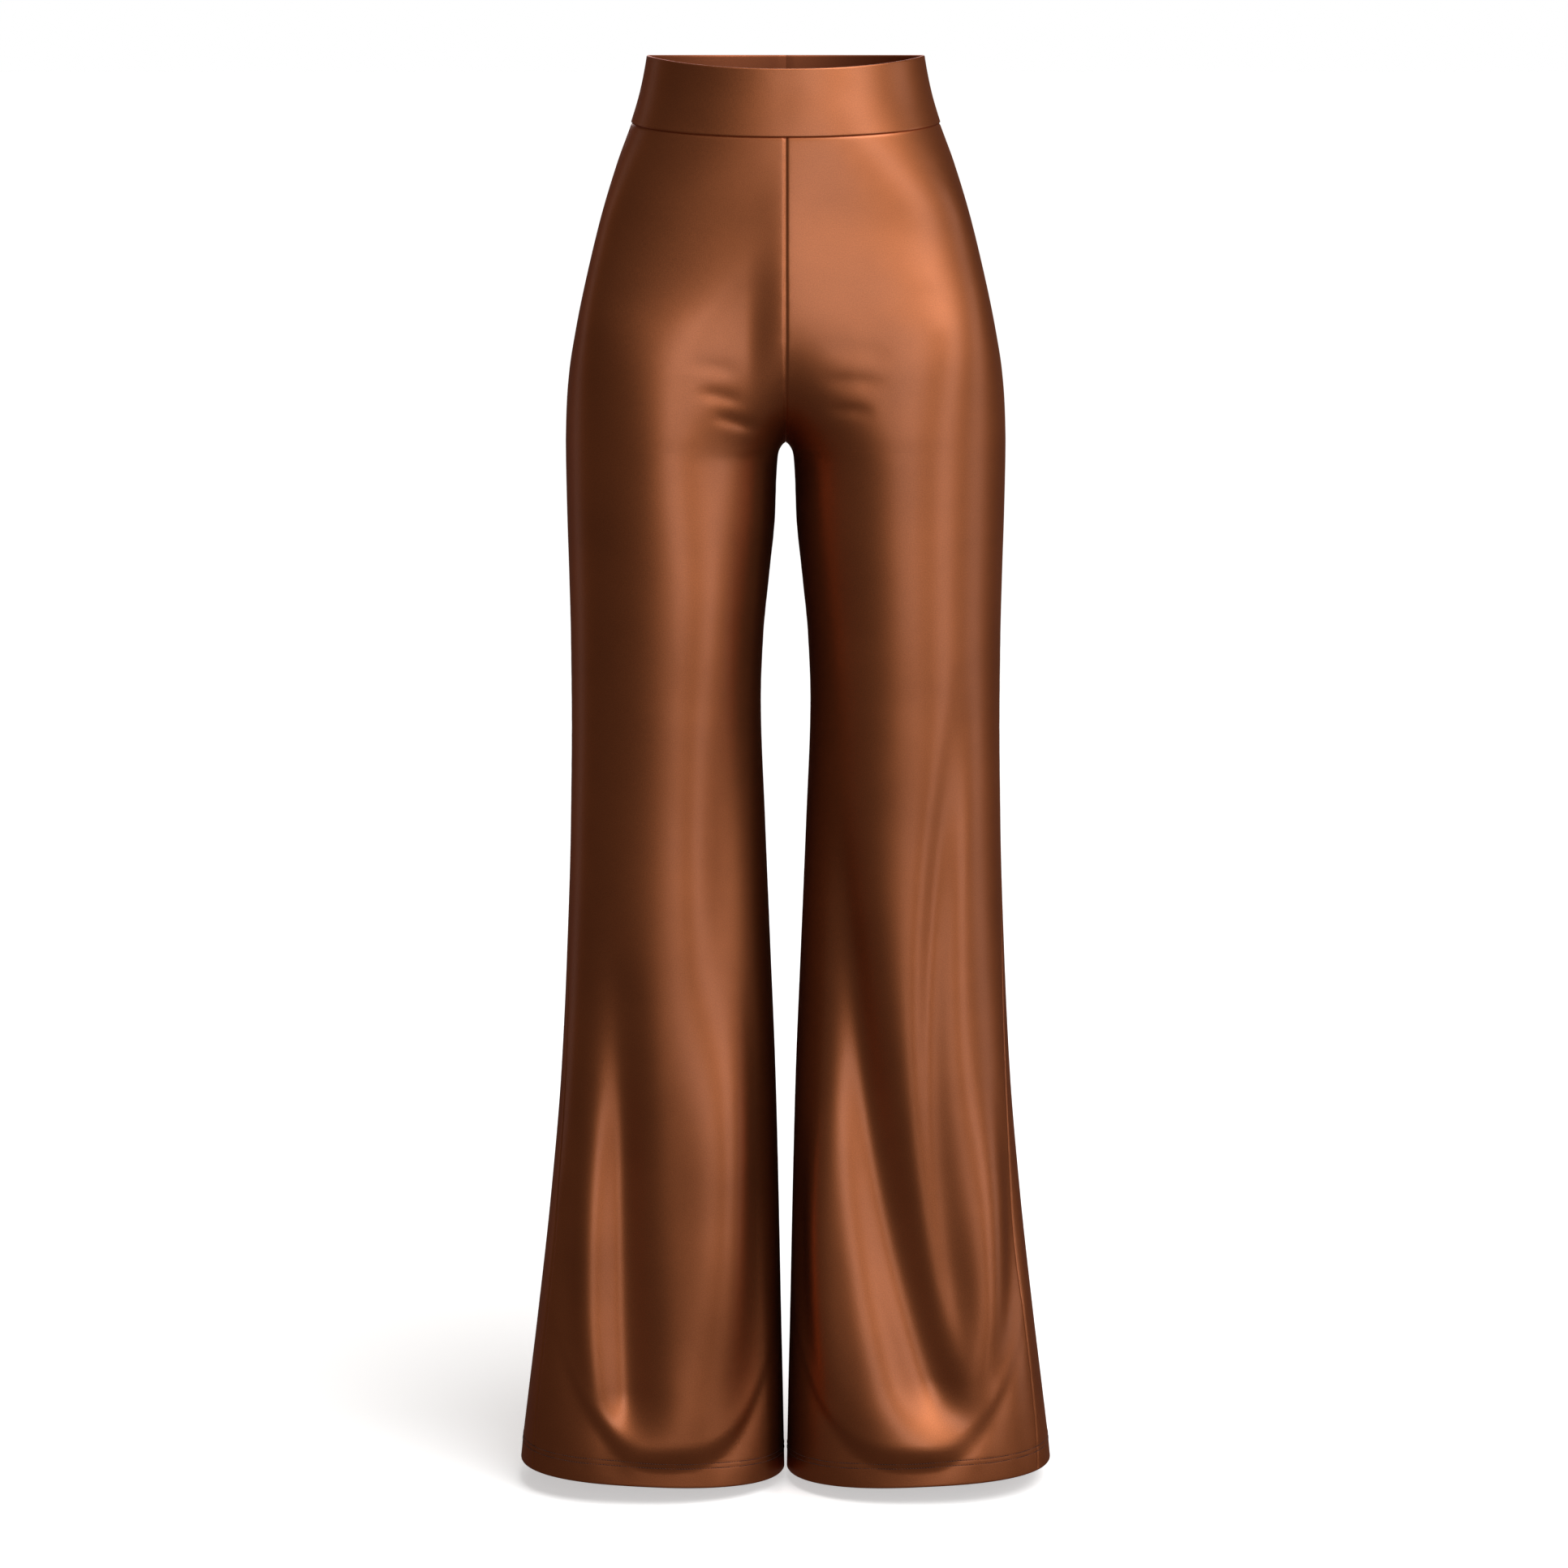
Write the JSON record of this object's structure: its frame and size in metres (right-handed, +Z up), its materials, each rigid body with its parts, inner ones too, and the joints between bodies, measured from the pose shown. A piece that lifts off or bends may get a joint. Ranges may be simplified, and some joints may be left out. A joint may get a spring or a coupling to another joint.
{
  "type": "flared trousers",
  "caption": "High-waisted satin trousers in their worn form, close at the hip and thigh and flared from the knee, with a wide plain waistband.",
  "frame": {"origin": "centre of the waist, halfway up the waistband, where the wearer holds the garment", "axes": "+Z up, the garment's front faces -Y, the wearer's left is +X"},
  "size_m": [0.4292, 0.2148, 1.1321],
  "materials": {
    "waistband_satin": "bronze satin, folded double",
    "panel_satin": "bronze satin with a smooth, lustrous face"
  },
  "bodies": {
    "root": {"waistband_front": "waistband_satin", "waistband_back_left": "waistband_satin", "waistband_back_right": "waistband_satin", "front_panel_left": "panel_satin", "front_panel_right": "panel_satin", "back_panel_left": "panel_satin", "back_panel_right": "panel_satin"}
  },
  "joints": []
}
